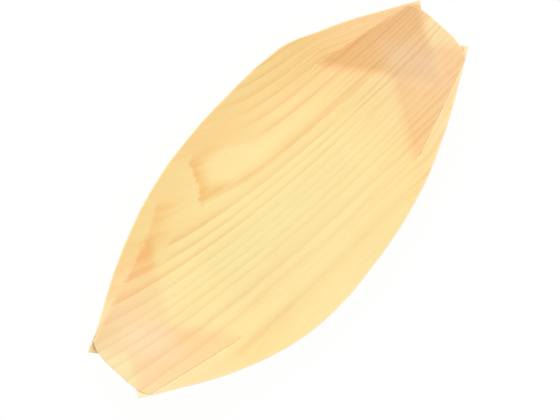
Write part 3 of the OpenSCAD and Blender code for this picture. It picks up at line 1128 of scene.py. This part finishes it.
    # Painted shade where one layer, and then two, lie below a tongue
    for layer, factors in enumerate(LAP_SHADE_TINTS):
        body = tint(tree, "MULTIPLY", span(tree, painted_lap_shade, layer, layer + 1.0, 0.0, 1.0), body, factors)

    # Checks of the loose underside and frayed cut edges
    check = noise(tree, grain, CHECK_NOISE, 2.0, 0.6, (5.0, 2.0, 0.0))
    check = sums(tree, "MULTIPLY", span(tree, check, 0.60, 0.68, 0.0, 0.35), loose)
    body = tint(tree, "MIX", check, body, CHECKED)
    frayed = sums(tree, "MULTIPLY", cut, span(tree, fibre, 0.3, 0.7, 0.35, 0.8))
    body = tint(tree, "MIX", frayed, body, CUT_WOOD)
    tree.links.new(body, wood.inputs["Base Color"])

    rough = sums(tree, "MULTIPLY_ADD", fibre, 0.18, 0.5)
    rough = sums(tree, "MULTIPLY_ADD", dark, -0.08, rough)
    tree.links.new(sums(tree, "MULTIPLY_ADD", loose, 0.1, rough), wood.inputs["Roughness"])
    wood.inputs["Specular IOR Level"].default_value = WOOD_SPECULAR

    height = sums(tree, "MULTIPLY_ADD", fibre, 0.6, sums(tree, "MULTIPLY", dark, 0.5))
    height = sums(tree, "MULTIPLY_ADD", check, -2.0, height)
    relief(tree, wood, height, RELIEF, RELIEF_HEIGHT)
    return material


def fibre_material():
    """Torn fibres: bare pale wood with fine streaks along the grain."""
    material, tree, fibre = new_material("torn_fibre")
    streak = noise(tree, grain_of(tree), TORN_NOISE, 3.0, 0.6)
    body = tint(tree, "MIX", streak, colour(255, 244, 188), colour(255, 236, 168))
    tree.links.new(body, fibre.inputs["Base Color"])
    tree.links.new(span(tree, streak, 0.3, 0.7, 0.5, 0.7), fibre.inputs["Roughness"])
    fibre.inputs["Specular IOR Level"].default_value = WOOD_SPECULAR
    return material


def glue_material():
    """Dried glue: pale amber, glossy, with slow thickness drifts and fine bubbles."""
    material, tree, glue = new_material("glue")
    at = tree.nodes.new("ShaderNodeTexCoord").outputs["Object"]
    thick = noise(tree, at, (160.0, 160.0, 160.0), 3.0)
    bubble = noise(tree, at, (1500.0, 1500.0, 1500.0), 2.0)
    body = tint(tree, "MIX", thick, colour(244, 236, 212), colour(226, 208, 164))
    tree.links.new(body, glue.inputs["Base Color"])
    tree.links.new(span(tree, bubble, 0.3, 0.7, 0.25, 0.5), glue.inputs["Roughness"])
    relief(tree, glue, bubble, 0.4, 0.00005)
    return material


def floor_material():
    """White floor: most of what the camera sees of it is plain white, the rest keeps shadows."""
    material, tree, white = new_material("floor")
    white.inputs["Base Color"].default_value = colour(255, 255, 255)
    white.inputs["Roughness"].default_value = 0.9
    rays = tree.nodes.new("ShaderNodeLightPath")
    seen = sums(tree, "MAXIMUM", rays.outputs["Is Camera Ray"], rays.outputs["Is Glossy Ray"])
    seen = sums(tree, "MAXIMUM", seen, rays.outputs["Is Transmission Ray"])
    shine = tree.nodes.new("ShaderNodeEmission")
    shine.inputs["Strength"].default_value = 1.0
    both = tree.nodes.new("ShaderNodeMixShader")
    tree.links.new(sums(tree, "MULTIPLY", seen, FLOOR_WHITE), both.inputs["Fac"])
    tree.links.new(white.outputs["BSDF"], both.inputs[1])
    tree.links.new(shine.outputs["Emission"], both.inputs[2])
    output = next(n for n in tree.nodes if n.type == "OUTPUT_MATERIAL")
    tree.links.new(both.outputs["Shader"], output.inputs["Surface"])
    return material


# Pieces

points, faces, blank, values = veneer_mesh()
sheet = add_mesh("folded_veneer", points, faces)
lay_grain(sheet, blank)
for name, numbers in values.items():
    carried = sheet.data.attributes.new(name, "FLOAT", "POINT")
    carried.data.foreach_set("value", numbers.astype(np.float32))
sheet.data.materials.append(veneer_material())
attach(sheet, "root")
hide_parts("veneer_sheet")

slivers = [sliver(np.array(a), np.array(b), lift, half) for a, b, lift, half in TORN]
firsts = np.cumsum([0] + [len(s[0]) for s in slivers])
torn = add_mesh(
    "lifted_fibres",
    np.concatenate([s[0] for s in slivers]) * MM,
    np.concatenate([s[1] + first for s, first in zip(slivers, firsts)]),
)
lay_grain(torn, np.concatenate([s[2] for s in slivers]))
torn.data.materials.append(fibre_material())
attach(torn, "root")

dried_glue = glue_material()
for node in ("bow_inner_bond", "bow_outer_bond", "stern_inner_bond", "stern_outer_bond"):
    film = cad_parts[node]
    film.data.materials.clear()
    film.data.materials.append(dried_glue)

# Floor, light and camera, in metres

# The floor lies a hair below the sheet, so that no two faces share a plane
FLOOR_Z = -0.00005
FLOOR_REACH = 4.0
FLOOR_WHITE = 0.94
WORLD_LIGHT = 0.915
LAMP_REACH = 1.2
LAMP_HEIGHT = 1.5
LAMP_SIZE = 1.4
LAMP_POWER = 9.8
# Turn of the photograph's frame, breadth that it takes in at the sheet's mean height, and the place
# of its middle to the right and up
IMAGE_ANGLE = math.radians(-46.94)
PHOTO_WIDTH = 0.2514
MEAN_HEIGHT = 0.026
MIDDLE = (-0.0001, -0.0043)
LENS = 400.0
SENSOR = 36.0

corners = np.array([[-1.0, -1.0], [1.0, -1.0], [1.0, 1.0], [-1.0, 1.0]]) * FLOOR_REACH
ground = add_mesh(
    "floor", np.column_stack([corners, np.full(4, FLOOR_Z)]), np.array([[0, 1, 2, 3]])
)
ground.data.materials.append(floor_material())

scene = bpy.context.scene
scene.view_settings.view_transform = "Standard"

world = bpy.data.worlds.new("studio")
scene.world = world
world.use_nodes = True
sky = world.node_tree.nodes["Background"]
sky.inputs["Color"].default_value = (1.0, 1.0, 1.0, 1.0)
sky.inputs["Strength"].default_value = WORLD_LIGHT

image_up = np.array([-math.sin(IMAGE_ANGLE), math.cos(IMAGE_ANGLE)])
image_right = np.array([math.cos(IMAGE_ANGLE), math.sin(IMAGE_ANGLE)])

# Square lamp above the picture's upper side, which faces the middle of the part
window_light = bpy.data.lights.new("window", "AREA")
window_light.size = LAMP_SIZE
window_light.energy = LAMP_POWER
window = bpy.data.objects.new("window", window_light)
hung_at = np.array([*(image_up * LAMP_REACH), LAMP_HEIGHT])
toward = -hung_at / np.linalg.norm(hung_at)
window.location = hung_at
heading = math.atan2(toward[1], toward[0]) - math.pi / 2
window.rotation_euler = (math.acos(-toward[2]), 0.0, heading)
scene.collection.objects.link(window)

camera_data = bpy.data.cameras.new("camera")
camera_data.lens = LENS
camera_data.sensor_width = SENSOR
camera = bpy.data.objects.new("camera", camera_data)
centre = MIDDLE[0] * image_right + MIDDLE[1] * image_up
camera.location = (*centre, PHOTO_WIDTH * LENS / SENSOR + MEAN_HEIGHT)
camera.rotation_euler = (0.0, 0.0, IMAGE_ANGLE)
scene.collection.objects.link(camera)
scene.camera = camera
